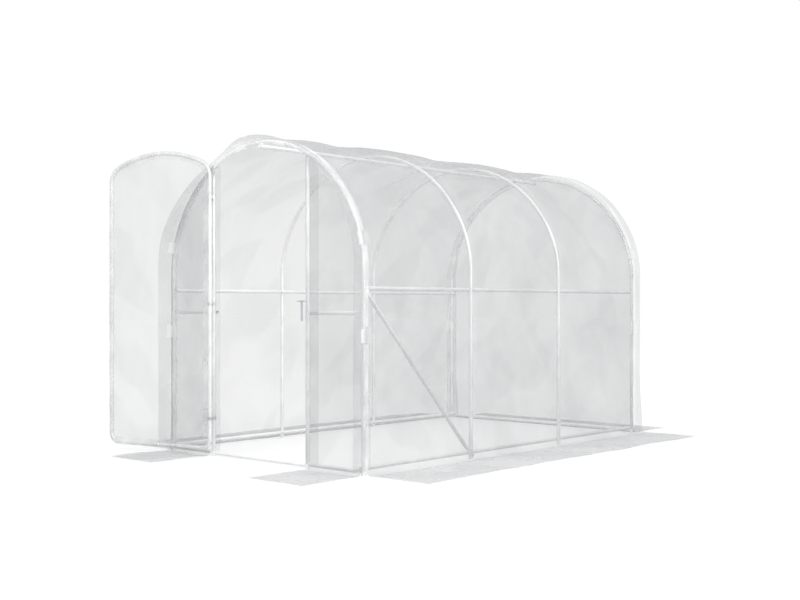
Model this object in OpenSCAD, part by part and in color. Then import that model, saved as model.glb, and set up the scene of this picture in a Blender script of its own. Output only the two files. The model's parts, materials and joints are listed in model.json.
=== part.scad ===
// Walk-in polytunnel greenhouse: hoops of round tube under clear film,
// an arched door at the front end and film flaps that lie on the ground.
// X runs across the tunnel, Y from the door end to the rear, Z up.
// The origin is the middle of the tunnel's plan, at ground level.

/* [Tunnel] */
// Length between the front and rear hoops
tunnel_l = 3000; // [2400:50:4000]
// Width between the leg centres
tunnel_w = 1800; // [1500:20:2200]
// Height of the straight legs
leg_h = 1203; // [1000:10:1500]
// How much less the arch rises than half the tunnel's width
arch_drop = 83; // [60:1:110]
// Distance of the shoulder arcs' centres from the middle
shoulder_x = 200; // [160:5:240]

/* [Tube] */
// Outer diameter of every frame tube
tube_d = 25; // [20:1:30]
// Thickness of a flattened tube end
flat_t = 3; // [2:0.5:4]
// How much narrower a flattened tube end is than the tube
flat_trim = 1; // [1:0.5:6]
// Length of the flat beyond its bolt
flat_len = 45; // [30:1:60]
// Length over which the tube turns round again
taper_len = 30; // [20:1:50]

/* [Rails] */
// How far the side rails lie below the legs' upper ends
side_rail_drop = 113; // [40:1:300]
// Height of the base rails on the long sides
base_rail_h = 40; // [30:1:80]
// Height of the base rails at the two ends
end_rail_h = 27; // [20:1:60]
// Height of the bar across the doorway
threshold_h = 22; // [18:1:40]
// How far the cross bars lie below the side rails
cross_bar_drop = 145; // [60:5:250]
// Height of the brace's foot
brace_foot_h = 24; // [20:1:60]

/* [Door] */
// Distance of each door post from the middle
door_post_x = 448; // [360:1:500]
// Gap between the left post and the hinge tube
hinge_gap = 5.7; // [5:0.1:12]
// Gap between the closed leaf's free tube and the latch pin
free_gap = 13; // [8:1:30]
// How far the leaf's crown lies below the hoop's
crown_drop = 12; // [10:1:30]
// Height of the leaf's bottom tube
door_bottom_h = 52; // [40:1:90]
// Radius of the leaf's upper corners
door_shoulder_r = 120; // [60:5:160]
// Radius of the leaf's lower corners
door_corner_r = 60; // [40:5:100]
// Angle by which the leaf stands open
door_open = 168; // [90:1:168]
// Heights of the hinge clamps
clamp_heights = [250, 1000, 1700];
// Height of a hinge clamp
clamp_h = 20; // [12:1:30]
// Wall of a hinge clamp
clamp_t = 3.2; // [2:0.1:4]

/* [Latch] */
// How far the latch pin lies above the cross bars
latch_rise = 70; // [30:5:120]
// Diameter of the latch pin
pin_d = 8; // [6:1:10]
// How far the pin stands out of the post
pin_reach = 73; // [68:1:100]
// Length of the latch strip
strip_l = 128; // [90:1:160]
// Width of the latch strip
strip_w = 16; // [14:1:20]
// Thickness of the latch strip
strip_t = 3; // [2:0.5:4]

/* [Film] */
// Thickness of the film solids
film_t = 3; // [2:0.5:4]
// How far the cover runs past the end hoops
overhang = 120; // [60:5:130]
// How far it runs past the front hoop where the leaf swings
short_overhang = 25; // [15:1:26]
// Where the long overhang stops, left of the middle
overhang_stop_x = 100; // [50:10:150]
// How far the cover's right wall laps over the roof
wall_lap = 40; // [20:5:60]
// Clearance between the open leaf and the cover's left wall
leaf_gap = 5; // [5:1:10]
// Reach of the ground flaps from the hoop planes and the leg lines
flap_reach = 500; // [300:10:600]

/* [Clips] */
// Length of a film clip
clip_l = 80; // [50:5:100]
// Wall of a film clip
clip_t = 3; // [2:0.5:3]
// Height of the clips on the legs
leg_clip_h = 812; // [700:1:880]
// How far the shoulder clips lie above the legs' upper ends
shoulder_clip_rise = 177; // [120:1:260]
// Distance of the crown clips from the middle
crown_clip_x = 187; // [120:1:250]

/* [Fits] */
// Clearance between pieces that seat on each other
seat_gap = 0.3; // [0.2:0.05:0.5]
// Clearance of the hinge tube in its clamps
hinge_play = 0.6; // [0.4:0.1:1]
// Clearance of the latch pin in its holes
pin_play = 0.2; // [0.1:0.05:0.4]
// Clearance between the closed leaf and the turned latch
latch_gap = 5.3; // [5:0.1:10]
// Clearance between the clamps and the door film
notch_gap = 1.5; // [1:0.5:3]

/* [Hidden] */
$fn = 64;
arc_fn = 240;
hoop_count = 4;
tube_r = tube_d / 2;
half_w = tunnel_w / 2;
front_y = -tunnel_l / 2;
rear_y = tunnel_l / 2;
bay = tunnel_l / (hoop_count - 1);

// Three-centred arch: the shoulder arcs run tangent into a crown arc.
arch_rise = half_w - arch_drop;
shoulder_r = half_w - shoulder_x;
crown_lift = arch_rise - shoulder_r;
crown_sink = (pow(shoulder_x, 2) - pow(crown_lift, 2)) / (2 * crown_lift);
crown_r = arch_rise + crown_sink;
crown_z = leg_h - crown_sink;
join_a = atan2(crown_sink, shoulder_x);
arch_top = leg_h + arch_rise;
side_rail_h = leg_h - side_rail_drop;
cross_bar_h = side_rail_h - cross_bar_drop;
latch_h = cross_bar_h + latch_rise;

flat_w = tube_d - flat_trim;
// Tubes that touch lie side by side with the seat clearance between them.
side_step = tube_d + seat_gap;
// A flattened end seats on a tube with its mid-plane this far from the tube's axis.
flat_step = tube_r + seat_gap + flat_t / 2;
rail_x = half_w - side_step;
ridge_z = arch_top - side_step;
post_y = front_y - flat_step;
rail_start = film_t / 2 + seat_gap;

cover_r = tube_r + seat_gap;
left_wall_in = half_w + cover_r;
right_wall_in = half_w + tube_r + 2 * seat_gap + flat_t;
flap_edge = right_wall_in + film_t + flap_reach;
clip_in = tube_r + seat_gap;
clip_out = clip_in + clip_t;
clip_a = acos((cover_r - 2 * seat_gap) / clip_out);
panel_inset = clip_out + seat_gap;

// The leaf hangs on a tube in front of the left post.
hinge_step = tube_d + hinge_gap;
hinge_x = -door_post_x;
hinge_y = post_y - hinge_step;
clamp_r = tube_r + seat_gap + clamp_t;
panel_edge = door_post_x + clamp_r + seat_gap;
pin_edge = door_post_x - pin_d / 2;
door_w = pin_edge - free_gap - tube_r - hinge_x;
door_crown_r = crown_r - crown_drop;
door_mid = door_w / 2;
door_fillet_x = door_mid - door_shoulder_r;
door_fillet_z = crown_z + sqrt(pow(door_crown_r - door_shoulder_r, 2) - pow(door_fillet_x, 2));
door_join_a = atan2(door_fillet_z - crown_z, door_fillet_x);

// The open leaf slants forward from its hinge, and the cover's left wall stops behind it.
wall_leaf_y = hinge_y - (left_wall_in + film_t - door_post_x) * tan(180 - door_open)
    + tube_r / cos(180 - door_open);
wall_overhang = min(overhang, front_y - wall_leaf_y - leaf_gap);

// The pin's collars hold the strip between them, and its stub ends behind the post.
strip_back_y = hinge_y - tube_r - latch_gap;
collar_h = 4;
collar_r = 7;
collar_play = 0.5;
pin_stub = 6;
// The cross bars' cut ends are bored open and reach past the posts' middles.
bar_reach = 2;
bar_wall = 1.5;
bar_bore = 60;

tube_colour = [0.84, 0.85, 0.86];
film_colour = [0.82, 0.88, 0.90, 0.4];
clip_colour = [0.95, 0.95, 0.94];

module tube(l) {
    color(tube_colour) cylinder(d = tube_d, h = l);
}

// Stands an arc of the XY plane up in the XZ plane, centred on the crown's or a shoulder's axis.
module stand(x, z) {
    translate([x, 0, z]) rotate([90, 0, 0]) children();
}

// Runs a profile along the hoop's three arcs, which meet at seams.
// The profile's X is measured from the tube's axis.
module along_arch() {
    seam_a = seat_gap / crown_r * 180 / PI;
    stand(shoulder_x, leg_h) rotate_extrude(angle = join_a, $fn = arc_fn)
        translate([shoulder_r, 0]) children();
    stand(0, crown_z) rotate([0, 0, join_a + seam_a])
        rotate_extrude(angle = 180 - 2 * (join_a + seam_a), $fn = arc_fn)
            translate([crown_r, 0]) children();
    stand(-shoulder_x, leg_h) rotate([0, 0, 180 - join_a])
        rotate_extrude(angle = join_a, $fn = arc_fn) translate([shoulder_r, 0]) children();
}

module hoop_arch(k) {
    color(tube_colour) translate([0, front_y + k * bay, 0]) along_arch() circle(d = tube_d, $fn = 64);
}

module hoop_leg(k, side) {
    translate([side * half_w, front_y + k * bay, 0]) tube(leg_h);
}

// Flattened tube end along +X with its bolt at the origin; the tube's axis lies at y = shift.
module flat_end(shift) {
    rotate([90, 0, 0]) linear_extrude(flat_t, center = true) {
        circle(d = flat_w);
        translate([0, -flat_w / 2]) square([flat_len, flat_w]);
    }
    hull() {
        translate([flat_len - 1, 0.1 - flat_t / 2, 0.2 - flat_w / 2])
            cube([1, flat_t - 0.2, flat_w - 0.4]);
        translate([flat_len + taper_len, shift, 0]) rotate([0, 90, 0])
            cylinder(d = tube_d - 0.4, h = 1, $fn = 32);
    }
}

// Bar along +X, from a bolted flat at the origin to a cut end at l.
module one_flat_bar(l) {
    color(tube_colour) {
        flat_end(0);
        translate([flat_len + taper_len, 0, 0]) rotate([0, 90, 0])
            cylinder(d = tube_d, h = l - flat_len - taper_len);
    }
}

// Bar along +X between two bolted flats, l from bolt to bolt.
module two_flat_bar(l, shift) {
    color(tube_colour) {
        flat_end(shift);
        translate([l, 0, 0]) mirror([1, 0, 0]) flat_end(shift);
        translate([flat_len + taper_len, shift, 0]) rotate([0, 90, 0])
            cylinder(d = tube_d, h = l - 2 * (flat_len + taper_len));
    }
}

module ridge_pole() {
    l = tunnel_l + tube_r - rail_start;
    translate([0, front_y - tube_r, ridge_z]) rotate([-90, 0, 0]) tube(l);
}

module long_rail(side, z) {
    translate([side * rail_x, front_y + rail_start, z]) rotate([-90, 0, 0])
        tube(tunnel_l - 2 * rail_start);
}

// Runs from the leg's front to the door post.
module front_base_rail(side) {
    l = half_w - door_post_x - tube_r - seat_gap;
    translate([side * half_w, post_y, end_rail_h]) rotate([0, 0, side > 0 ? 180 : 0])
        one_flat_bar(l);
}

module rear_base_rail() {
    translate([-half_w, rear_y + flat_step, end_rail_h]) two_flat_bar(tunnel_w, 0);
}

module threshold_bar() {
    l = 2 * (door_post_x - tube_r - seat_gap);
    translate([-l / 2, post_y, threshold_h]) rotate([0, 90, 0]) tube(l);
}

// Height of the hoop's axis at a distance x from the middle, on the crown arc.
function crown_height(x) = crown_z + sqrt(pow(crown_r, 2) - pow(x, 2));

module door_post(side) {
    bolt_z = crown_height(door_post_x) - tube_r;
    difference() {
        translate([side * door_post_x, post_y, bolt_z]) rotate([0, 90, 0]) one_flat_bar(bolt_z);
        translate([door_post_x, post_y, latch_h]) rotate([90, 0, 0])
            cylinder(r = pin_d / 2 + pin_play, h = 2 * tube_d, center = true);
    }
}

// The bar's cut end lies open behind the post.
module cross_bar(side) {
    l = half_w - door_post_x + bar_reach;
    translate([side * half_w, front_y + flat_step, cross_bar_h])
        rotate([0, 0, side > 0 ? 180 : 0]) difference() {
            one_flat_bar(l);
            translate([l - bar_bore, 0, 0]) rotate([0, 90, 0])
                cylinder(r = tube_r - bar_wall, h = bar_bore + 1);
        }
}

// Outside the legs of the right front bay, from the side rail down to the next foot.
module diagonal_brace() {
    drop = side_rail_h - brace_foot_h;
    l = norm([bay, drop]);
    tilt = atan2(drop, bay);
    translate([half_w + flat_step, front_y, side_rail_h]) rotate([-tilt, 0, 0])
        rotate([0, 0, 90]) two_flat_bar(l, tube_r - flat_t / 2);
}

// Half ring of the clip's section; at both end hoops its opening faces the rear and the outside.
module clip_section() {
    intersection() {
        difference() {
            circle(r = clip_out);
            circle(r = clip_in);
        }
        rotate(clip_a) translate([-2 * clip_out, 0]) square([4 * clip_out, 2 * clip_out]);
    }
}

module clips_of_one_side() {
    span_shoulder = clip_l / shoulder_r * 180 / PI;
    span_crown = clip_l / crown_r * 180 / PI;
    shoulder_a = asin(shoulder_clip_rise / shoulder_r);
    crown_a = acos(crown_clip_x / crown_r);
    translate([half_w, 0, leg_clip_h - clip_l / 2]) linear_extrude(clip_l)
        mirror([0, 1]) clip_section();
    stand(shoulder_x, leg_h) rotate([0, 0, shoulder_a - span_shoulder / 2])
        rotate_extrude(angle = span_shoulder) translate([shoulder_r, 0]) clip_section();
    stand(0, crown_z) rotate([0, 0, crown_a - span_crown / 2])
        rotate_extrude(angle = span_crown) translate([crown_r, 0]) clip_section();
}

module film_clips(y) {
    color(clip_colour) translate([0, y, 0]) {
        clips_of_one_side();
        mirror([1, 0, 0]) clips_of_one_side();
    }
}

// Straps that join the left post to the leaf's hinge tube, one ring on each.
module hinge_clamps() {
    color(tube_colour) for (z = clamp_heights)
        translate([hinge_x, post_y, z - clamp_h / 2]) linear_extrude(clamp_h) difference() {
            union() {
                circle(r = clamp_r);
                translate([0, -hinge_step]) circle(r = clamp_r);
            }
            circle(r = tube_r + seat_gap);
            translate([0, -hinge_step]) circle(r = tube_r + hinge_play);
        }
}

module latch_pin() {
    tip_y = post_y - tube_r - pin_reach;
    color(tube_colour) {
        translate([door_post_x, post_y + tube_r + pin_stub, latch_h]) rotate([90, 0, 0])
            cylinder(d = pin_d, h = post_y + tube_r + pin_stub - tip_y);
        translate([door_post_x, strip_back_y + collar_play + collar_h, latch_h])
            rotate([90, 0, 0]) cylinder(r = collar_r, h = collar_h);
        translate([door_post_x, strip_back_y - strip_t - collar_play, latch_h])
            rotate([90, 0, 0]) cylinder(r = collar_r, h = collar_h);
    }
}

module latch_strip() {
    color(tube_colour) translate([door_post_x, strip_back_y, latch_h]) rotate([90, 0, 0])
        linear_extrude(strip_t) difference() {
            union() {
                circle(d = strip_w);
                translate([-strip_w / 2, strip_w - strip_l])
                    square([strip_w, strip_l - strip_w]);
                translate([0, strip_w - strip_l]) circle(d = strip_w);
            }
            circle(r = pin_d / 2 + pin_play);
        }
}

module cover_roof() {
    color(film_colour) difference() {
        translate([0, rear_y + overhang, 0]) along_arch()
            translate([cover_r, 0]) square([film_t, tunnel_l + 2 * overhang]);
        translate([-tunnel_w, front_y - 2 * overhang, leg_h - 1])
            cube([tunnel_w - overhang_stop_x, 2 * overhang - short_overhang, 2 * arch_rise]);
    }
}

module cover_wall_left() {
    color(film_colour) translate([-left_wall_in - film_t, front_y - wall_overhang, 0])
        cube([film_t, tunnel_l + overhang + wall_overhang, leg_h - seat_gap]);
}

// Stands clear of the brace's bolted ends.
module cover_wall_right() {
    color(film_colour) translate([right_wall_in, front_y - overhang, 0])
        cube([film_t, tunnel_l + 2 * overhang, leg_h + wall_lap]);
}

// Area under the hoop's outline drawn in or out by o.
module hoop_area(o) {
    translate([-half_w - o, 0]) square([tunnel_w + 2 * o, leg_h]);
    for (side = [-1, 1])
        translate([side * shoulder_x, leg_h]) intersection() {
            circle(r = shoulder_r + o, $fn = arc_fn);
            translate([-shoulder_r, 0]) square([2 * shoulder_r, shoulder_r]);
        }
    intersection() {
        translate([0, crown_z]) circle(r = crown_r + o, $fn = arc_fn);
        translate([0, crown_z]) polygon([
            [0, 0],
            [2 * crown_r * cos(join_a), 2 * crown_r * sin(join_a)],
            [-2 * crown_r * cos(join_a), 2 * crown_r * sin(join_a)]
        ]);
    }
}

module front_panel(side) {
    color(film_colour) translate([0, front_y, 0]) mirror([side > 0 ? 0 : 1, 0, 0])
        rotate([90, 0, 0]) linear_extrude(film_t, center = true) intersection() {
            hoop_area(-panel_inset);
            translate([panel_edge, 0]) square([tunnel_w, arch_top]);
        }
}

module rear_panel() {
    color(film_colour) translate([0, rear_y, 0]) rotate([90, 0, 0])
        linear_extrude(film_t, center = true) hoop_area(-panel_inset);
}

module side_flap(side, wall) {
    color(film_colour) mirror([side > 0 ? 0 : 1, 0, 0]) translate([wall, front_y, 0])
        cube([flap_edge - wall, tunnel_l + overhang, film_t]);
}

// Lies in front of an end panel and is cut out round the leg.
module end_flap(from_x, to_x, leg_sides) {
    color(film_colour) difference() {
        translate([from_x, -flap_reach, 0])
            cube([to_x - from_x, flap_reach - film_t / 2, film_t]);
        for (side = leg_sides)
            translate([side * half_w, 0, -1]) cylinder(r = tube_r + 1, h = film_t + 2);
    }
}

module front_flap(side) {
    translate([0, front_y, 0]) mirror([side > 0 ? 0 : 1, 0, 0])
        end_flap(panel_edge, half_w + tube_r, [1]);
}

module rear_flap() {
    translate([0, rear_y, 0]) mirror([0, 1, 0])
        end_flap(-half_w - tube_r, half_w + tube_r, [-1, 1]);
}

// Places a piece of the closed leaf, whose hinge axis is its origin, in the open position.
module on_leaf() {
    translate([hinge_x, hinge_y, 0]) rotate([0, 0, -door_open]) children();
}

module door_stile(x) {
    z = door_bottom_h + door_corner_r;
    on_leaf() translate([x, 0, z]) tube(door_fillet_z - z);
}

// A tube bent through an arc of the leaf's plane.
module leaf_arc(x, z, r, start, sweep) {
    stand(x, z) rotate([0, 0, start]) rotate_extrude(angle = sweep, $fn = arc_fn)
        translate([r, 0]) circle(d = tube_d, $fn = 64);
}

module door_top_tube() {
    seam_a = door_join_a + seat_gap / door_crown_r * 180 / PI;
    color(tube_colour) on_leaf() {
        leaf_arc(door_w - door_shoulder_r, door_fillet_z, door_shoulder_r, 0, door_join_a);
        leaf_arc(door_mid, crown_z, door_crown_r, seam_a, 180 - 2 * seam_a);
        leaf_arc(door_shoulder_r, door_fillet_z, door_shoulder_r, 180 - door_join_a, door_join_a);
    }
}

module door_bottom_tube() {
    z = door_bottom_h + door_corner_r;
    color(tube_colour) on_leaf() {
        leaf_arc(door_corner_r, z, door_corner_r, 180, 90);
        leaf_arc(door_w - door_corner_r, z, door_corner_r, 270, 90);
        translate([door_corner_r, 0, door_bottom_h]) rotate([0, 90, 0])
            cylinder(d = tube_d, h = door_w - 2 * door_corner_r);
    }
}

// Area inside the leaf's tubes, drawn in by o from their axes.
module leaf_area(o) {
    low = door_bottom_h + door_corner_r;
    translate([o, low]) square([door_w - 2 * o, door_fillet_z - low]);
    translate([door_corner_r, door_bottom_h + o])
        square([door_w - 2 * door_corner_r, door_corner_r - o]);
    for (x = [door_corner_r, door_w - door_corner_r])
        translate([x, low]) circle(r = door_corner_r - o);
    for (x = [door_shoulder_r, door_w - door_shoulder_r])
        translate([x, door_fillet_z]) circle(r = door_shoulder_r - o);
    intersection() {
        translate([door_mid, crown_z]) circle(r = door_crown_r - o, $fn = arc_fn);
        translate([door_shoulder_r, door_fillet_z])
            square([door_w - 2 * door_shoulder_r, door_crown_r]);
        translate([door_mid, crown_z]) polygon([
            [0, 0],
            [2 * door_crown_r * cos(door_join_a), 2 * door_crown_r * sin(door_join_a)],
            [-2 * door_crown_r * cos(door_join_a), 2 * door_crown_r * sin(door_join_a)]
        ]);
    }
}

module door_film() {
    inset = tube_r + seat_gap;
    color(film_colour) on_leaf() rotate([90, 0, 0]) linear_extrude(film_t, center = true)
        difference() {
            leaf_area(inset);
            for (z = clamp_heights)
                translate([0, z - clamp_h / 2 - notch_gap])
                    square([clamp_r + notch_gap, clamp_h + 2 * notch_gap]);
        }
}

hoop_arch(0);  // hoop_1_arch
hoop_leg(0, -1);  // hoop_1_leg_left
hoop_leg(0, 1);  // hoop_1_leg_right
hoop_arch(1);  // hoop_2_arch
hoop_leg(1, -1);  // hoop_2_leg_left
hoop_leg(1, 1);  // hoop_2_leg_right
hoop_arch(2);  // hoop_3_arch
hoop_leg(2, -1);  // hoop_3_leg_left
hoop_leg(2, 1);  // hoop_3_leg_right
hoop_arch(3);  // hoop_4_arch
hoop_leg(3, -1);  // hoop_4_leg_left
hoop_leg(3, 1);  // hoop_4_leg_right
ridge_pole();
long_rail(-1, side_rail_h);  // side_rail_left
long_rail(1, side_rail_h);  // side_rail_right
long_rail(-1, base_rail_h);  // base_rail_left
long_rail(1, base_rail_h);  // base_rail_right
front_base_rail(-1);  // front_base_rail_left
front_base_rail(1);  // front_base_rail_right
rear_base_rail();
threshold_bar();
door_post(-1);  // door_post_left
door_post(1);  // door_post_right
cross_bar(-1);  // cross_bar_left
cross_bar(1);  // cross_bar_right
diagonal_brace();
film_clips(front_y);  // front_film_clips
film_clips(rear_y);  // rear_film_clips
hinge_clamps();
latch_pin();
cover_roof();
cover_wall_left();
cover_wall_right();
front_panel(-1);  // front_panel_left
front_panel(1);  // front_panel_right
rear_panel();
side_flap(-1, left_wall_in + film_t);  // ground_flap_left
side_flap(1, right_wall_in + film_t);  // ground_flap_right
rear_flap();  // ground_flap_rear
front_flap(-1);  // ground_flap_front_left
front_flap(1);  // ground_flap_front_right
door_stile(0);  // door_hinge_stile
door_stile(door_w);  // door_free_stile
door_top_tube();
door_bottom_tube();
door_film();
latch_strip();
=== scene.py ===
import json
import math

import bmesh
import bpy
from mathutils import Matrix, Vector, noise


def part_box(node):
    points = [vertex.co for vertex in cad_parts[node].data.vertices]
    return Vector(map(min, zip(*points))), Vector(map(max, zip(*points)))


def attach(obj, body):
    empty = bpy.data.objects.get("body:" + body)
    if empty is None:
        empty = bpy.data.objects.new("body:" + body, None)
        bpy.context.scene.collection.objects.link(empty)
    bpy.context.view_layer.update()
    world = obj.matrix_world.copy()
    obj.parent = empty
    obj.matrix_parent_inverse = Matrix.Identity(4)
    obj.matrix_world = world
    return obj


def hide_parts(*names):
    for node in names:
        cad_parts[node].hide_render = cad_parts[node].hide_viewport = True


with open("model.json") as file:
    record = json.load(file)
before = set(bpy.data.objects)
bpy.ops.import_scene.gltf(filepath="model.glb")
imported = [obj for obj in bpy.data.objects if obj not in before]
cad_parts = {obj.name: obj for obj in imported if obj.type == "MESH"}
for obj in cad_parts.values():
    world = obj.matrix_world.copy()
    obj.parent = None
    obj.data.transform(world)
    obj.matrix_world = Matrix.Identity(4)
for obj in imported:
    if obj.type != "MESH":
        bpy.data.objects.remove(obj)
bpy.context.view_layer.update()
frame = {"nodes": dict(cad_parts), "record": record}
print("frame loaded")


def colour(hexText):
    # sRGB hex to the linear values that sockets take
    parts = [int(hexText[i:i + 2], 16) / 255 for i in (0, 2, 4)]
    return tuple(c / 12.92 if c <= 0.04045 else ((c + 0.055) / 1.055) ** 2.4 for c in parts) + (1,)


def addNode(tree, kind, settings=None, inputs=None, links=None):
    node = tree.nodes.new(kind)
    for name, value in (settings or {}).items():
        setattr(node, name, value)
    for name, value in (inputs or {}).items():
        node.inputs[name].default_value = value
    for name, socket in (links or {}).items():
        tree.links.new(socket, node.inputs[name])
    return node


def newMaterial(name):
    material = bpy.data.materials.new(name)
    material.use_nodes = True
    tree = material.node_tree
    tree.nodes.clear()
    output = addNode(tree, "ShaderNodeOutputMaterial")
    shader = addNode(tree, "ShaderNodeBsdfPrincipled")
    tree.links.new(shader.outputs["BSDF"], output.inputs["Surface"])
    return material, tree, shader


def wobble(x, y, z, size, seed):
    # smooth seeded noise from -1 to 1; size is the distance between swells in metres
    return noise.noise(Vector((x / size + seed * 7.31, y / size - seed * 3.17,
                               z / size + seed * 1.93)))


def ease(low, high, value):
    t = min(max((value - low) / (high - low), 0), 1)
    return t * t * (3 - 2 * t)


def finishPiece(mesh, name, material, body, smooth=True):
    data = bpy.data.meshes.new(name)
    mesh.to_mesh(data)
    mesh.free()
    for face in data.polygons:
        face.use_smooth = smooth
    data.materials.append(material)
    piece = bpy.data.objects.new(name, data)
    bpy.context.scene.collection.objects.link(piece)
    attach(piece, body)
    return piece


def filmMesh(across, along, place):
    # flat cut of film; place(u, v) gives where a point of it lies, its metres along the cut
    # and how gathered it is, painted glare on wraps and edges included; below 0 it is drawn
    # clearer, on the left front panel as painted light
    mesh = bmesh.new()
    bmesh.ops.create_grid(mesh, x_segments=across, y_segments=along, size=0.5)
    cutMap = mesh.loops.layers.uv.new("cut")
    gatherAndGlare = mesh.verts.layers.float.new("gatherAndGlare")
    for vert in mesh.verts:
        vert.co, cut, vert[gatherAndGlare] = place(vert.co.x + 0.5, vert.co.y + 0.5)
        for loop in vert.link_loops:
            loop[cutMap].uv = cut
    mesh.normal_update()
    return mesh


# sizes read from the frame
legLow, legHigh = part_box("hoop_1_leg_right")
rearLow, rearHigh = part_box("hoop_4_leg_right")
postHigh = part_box("door_post_right")[1]
tubeRadius = (legHigh.x - legLow.x) / 2
halfWidth = (legLow.x + legHigh.x) / 2
legHeight = legHigh.z
frontY = (legLow.y + legHigh.y) / 2
rearY = (rearLow.y + rearHigh.y) / 2
postX = postHigh.x - tubeRadius
postY = (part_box("threshold_bar")[0].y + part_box("threshold_bar")[1].y) / 2
hoopYs = [frontY + (rearY - frontY) * k / 3 for k in range(4)]

# The hoop is three arcs: two shoulders and a flatter crown, tangent to each other.
arch = {"shoulderX": 0.2, "shoulderRadius": 0.7, "crownRadius": 0.92944, "crownZ": 1.09056}
arch["joinAngle"] = math.atan2(legHeight - arch["crownZ"], arch["shoulderX"])
arch["crownLength"] = arch["crownRadius"] * (math.pi / 2 - arch["joinAngle"])
arch["shoulderLength"] = arch["shoulderRadius"] * arch["joinAngle"]
arch["length"] = arch["crownLength"] + arch["shoulderLength"] + legHeight


def hoopPoint(s):
    # point and outward direction at a distance s along the hoop from its crown, right side positive
    side = 1 if s >= 0 else -1
    s = abs(s)
    if s <= arch["crownLength"]:
        a = s / arch["crownRadius"]
        x, z = arch["crownRadius"] * math.sin(a), arch["crownZ"] + arch["crownRadius"] * math.cos(a)
    elif s <= arch["crownLength"] + arch["shoulderLength"]:
        a = (arch["crownLength"] / arch["crownRadius"]
             + (s - arch["crownLength"]) / arch["shoulderRadius"])
        x = arch["shoulderX"] + arch["shoulderRadius"] * math.sin(a)
        z = legHeight + arch["shoulderRadius"] * math.cos(a)
    else:
        a = math.pi / 2
        x, z = halfWidth, arch["length"] - s
    return side * x, z, side * math.sin(a), math.cos(a)


def hoopDistance(x):
    # distance along the hoop from the crown to where its axis stands at x, on the crown arc
    return arch["crownRadius"] * math.asin(x / arch["crownRadius"])


view = {"place": (5.4855, -6.2901, 0.9931), "forward": (-0.668, 0.744, 0),
        "lens": 51.47, "sensor": 36, "shiftY": 0.006, "farthest": 200}
cameraData = bpy.data.cameras.new("camera")
cameraData.lens = view["lens"]
cameraData.sensor_width = view["sensor"]
cameraData.shift_y = view["shiftY"]
cameraData.clip_end = view["farthest"]
camera = bpy.data.objects.new("camera", cameraData)
camera.location = view["place"]
camera.rotation_mode = "QUATERNION"
camera.rotation_quaternion = Vector(view["forward"]).to_track_quat("-Z", "Y")
bpy.context.scene.collection.objects.link(camera)
bpy.context.scene.camera = camera

# A white room, one soft key for everything and three strips that only show as gloss.
studio = {
    "sky": "ffffff", "glossLow": "4c4f51", "glossHorizon": "dfe2e3", "glossHigh": "f6f7f8",
    "key": {"place": (4.5, -3.0, 5.5), "target": (0.2, -0.3, 0.8), "size": 2.4, "power": 125},
    "strips": {
        "stripRight": {"place": (3.6, -0.6, 2.3), "target": (0.9, 0.0, 1.1),
                       "size": (0.5, 3.4), "power": 80},
        "stripFront": {"place": (1.6, -4.6, 2.4), "target": (0.2, -1.5, 1.1),
                       "size": (2.6, 0.5), "power": 30},
        "stripTop": {"place": (0.5, 1.5, 6.0), "target": (0.0, 0.3, 1.9),
                     "size": (3.0, 0.5), "power": 40},
    },
    "floor": {"colour": "f1f1f1", "glow": 0.13, "gloss": "84878a", "size": 60},
}
world = bpy.data.worlds.new("studio")
world.use_nodes = True
bpy.context.scene.world = world
skyTree = world.node_tree
skyTree.nodes.clear()
skyOut = addNode(skyTree, "ShaderNodeOutputWorld")
coords = addNode(skyTree, "ShaderNodeTexCoord")
height = addNode(skyTree, "ShaderNodeSeparateXYZ", links={"Vector": coords.outputs["Generated"]})
fade = addNode(skyTree, "ShaderNodeMapRange", inputs={"From Min": -1.0, "From Max": 1.0},
               links={"Value": height.outputs["Z"]})
shades = addNode(skyTree, "ShaderNodeValToRGB", links={"Fac": fade.outputs["Result"]})
shades.color_ramp.elements[0].position = 0.36
shades.color_ramp.elements[0].color = colour(studio["glossLow"])
shades.color_ramp.elements[1].position = 0.85
shades.color_ramp.elements[1].color = colour(studio["glossHigh"])
shades.color_ramp.elements.new(0.5).color = colour(studio["glossHorizon"])
dim = addNode(skyTree, "ShaderNodeBackground", links={"Color": shades.outputs["Color"]})
plain = addNode(skyTree, "ShaderNodeBackground", inputs={"Color": colour(studio["sky"])})
rays = addNode(skyTree, "ShaderNodeLightPath")
pick = addNode(skyTree, "ShaderNodeMixShader", links={"Fac": rays.outputs["Is Glossy Ray"]})
skyTree.links.new(plain.outputs[0], pick.inputs[1])
skyTree.links.new(dim.outputs[0], pick.inputs[2])
skyTree.links.new(pick.outputs[0], skyOut.inputs["Surface"])


def addLamp(name, spec):
    data = bpy.data.lights.new(name, "AREA")
    if isinstance(spec["size"], tuple):
        data.shape = "RECTANGLE"
        data.size, data.size_y = spec["size"]
    else:
        data.shape = "DISK"
        data.size = spec["size"]
    data.energy = spec["power"]
    lamp = bpy.data.objects.new(name, data)
    lamp.location = spec["place"]
    lamp.rotation_mode = "QUATERNION"
    aim = Vector(spec["target"]) - Vector(spec["place"])
    lamp.rotation_quaternion = aim.to_track_quat("-Z", "Y")
    lamp.visible_camera = False
    bpy.context.scene.collection.objects.link(lamp)
    return lamp


addLamp("key", studio["key"]).data.use_shadow = False   # the film would shade the frame too much
for name, spec in studio["strips"].items():
    strip = addLamp(name, spec)
    strip.visible_diffuse = False
    strip.visible_transmission = False

floorMaterial, floorTree, floorShader = newMaterial("paleStudioFloor")
floorShader.inputs["Base Color"].default_value = colour(studio["floor"]["colour"])
floorShader.inputs["Roughness"].default_value = 0.9
floorShader.inputs["Specular IOR Level"].default_value = 0.1
floorShader.inputs["Emission Color"].default_value = colour("ffffff")
floorShader.inputs["Emission Strength"].default_value = studio["floor"]["glow"]
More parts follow.
